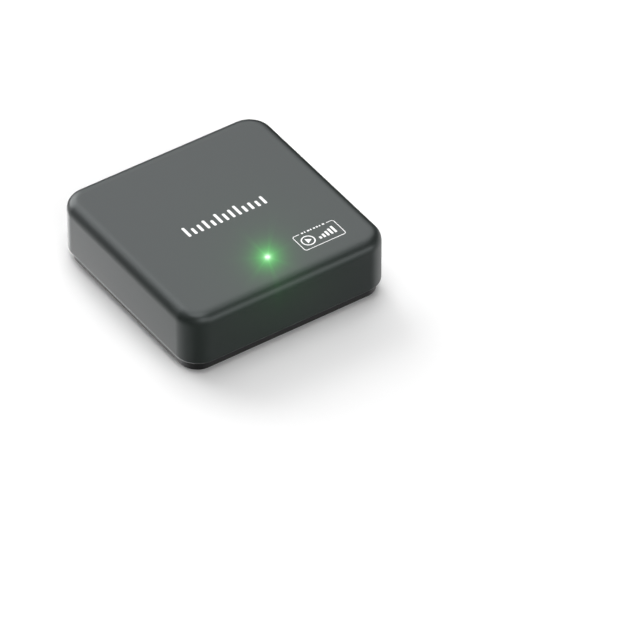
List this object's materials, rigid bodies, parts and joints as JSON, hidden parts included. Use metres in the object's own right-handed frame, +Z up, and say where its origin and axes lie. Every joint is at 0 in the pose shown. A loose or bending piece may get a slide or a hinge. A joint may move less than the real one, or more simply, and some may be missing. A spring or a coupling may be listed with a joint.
{
  "type": "streaming media player",
  "caption": "Low square media box with a soft-edged dark grey cover, a lit status dot on top, rear video, network, USB and power sockets and a sprung reset button.",
  "frame": {"origin": "on the resting surface, under the middle of the box", "axes": "+Z up; -Y towards the edge with the status light; +Y towards the sockets; +X to the right seen from the light's side"},
  "size_m": [0.095, 0.095, 0.0287],
  "materials": {
    "cover_plastic": "fine moulded texture, dark grey",
    "base_plastic": "satin moulded, black",
    "foot_rubber": "matt",
    "label_film": "printed film, blank",
    "screw_steel": "zinc plated",
    "board_laminate": "green solder mask over glass laminate",
    "radio_laminate": "blue solder mask",
    "chip_epoxy": "moulded epoxy",
    "ceramic": "tan ceramic with tinned ends",
    "can_aluminium": "drawn can",
    "sink_aluminium": "extruded, satin",
    "pin_plastic": "nylon, natural white",
    "spring_steel": "drawn wire",
    "pad_silicone": "soft silicone",
    "tin_plate": "bright tin plate",
    "aerial_film": "black film over etched copper",
    "lead_jacket": "fluoropolymer, black",
    "socket_steel": "nickel plated",
    "socket_plastic": "glass filled, black",
    "gold_contact": "gold plated",
    "button_plastic": "satin",
    "switch_plastic": "nylon",
    "lens_resin": "clear resin, lit green",
    "guide_acrylic": "clear acrylic rod, lit green at its end",
    "infrared_resin": "dark red filter resin"
  },
  "bodies": {
    "player": {"top_cover": "cover_plastic", "base_cover": "base_plastic", "rating_label": "label_film", "case_screws": "screw_steel", "main_board": "board_laminate", "board_screws": "screw_steel", "processor": "chip_epoxy", "memory_chip_front": "chip_epoxy", "memory_chip_rear": "chip_epoxy", "flash_chip": "chip_epoxy", "power_chip": "chip_epoxy", "power_inductors": "chip_epoxy", "filter_capacitors": "can_aluminium", "chip_capacitors": "ceramic", "crystal_can": "tin_plate", "infrared_receiver": "infrared_resin", "network_transformer": "chip_epoxy", "thermal_pad": "pad_silicone", "heat_sink": "sink_aluminium", "heat_sink_pins": "pin_plastic", "heat_sink_springs": "spring_steel", "radio_module": "radio_laminate", "radio_shield": "tin_plate", "aerial_left": "aerial_film", "aerial_right": "aerial_film", "aerial_lead_left": "lead_jacket", "aerial_lead_right": "lead_jacket", "video_shell": "socket_steel", "video_tongue": "socket_plastic", "video_contacts": "gold_contact", "network_shell": "socket_steel", "network_housing": "socket_plastic", "network_contacts": "gold_contact", "usb_shell": "socket_steel", "usb_tongue": "socket_plastic", "usb_contacts": "gold_contact", "power_housing": "socket_plastic", "power_pin": "socket_steel", "power_contact": "socket_steel", "reset_switch": "switch_plastic", "status_led": "lens_resin", "light_guide": "guide_acrylic", "rubber_foot_1": "foot_rubber", "rubber_foot_2": "foot_rubber", "rubber_foot_3": "foot_rubber", "rubber_foot_4": "foot_rubber"},
    "reset_key": {"reset_button": "button_plastic", "reset_plunger": "switch_plastic"}
  },
  "joints": [
    {"name": "reset_press", "type": "slide", "parent": "player", "child": "reset_key", "axis": [0, -1, 0], "range_m": [0, 0.0005], "stiffness_N_per_m": 400}
  ]
}
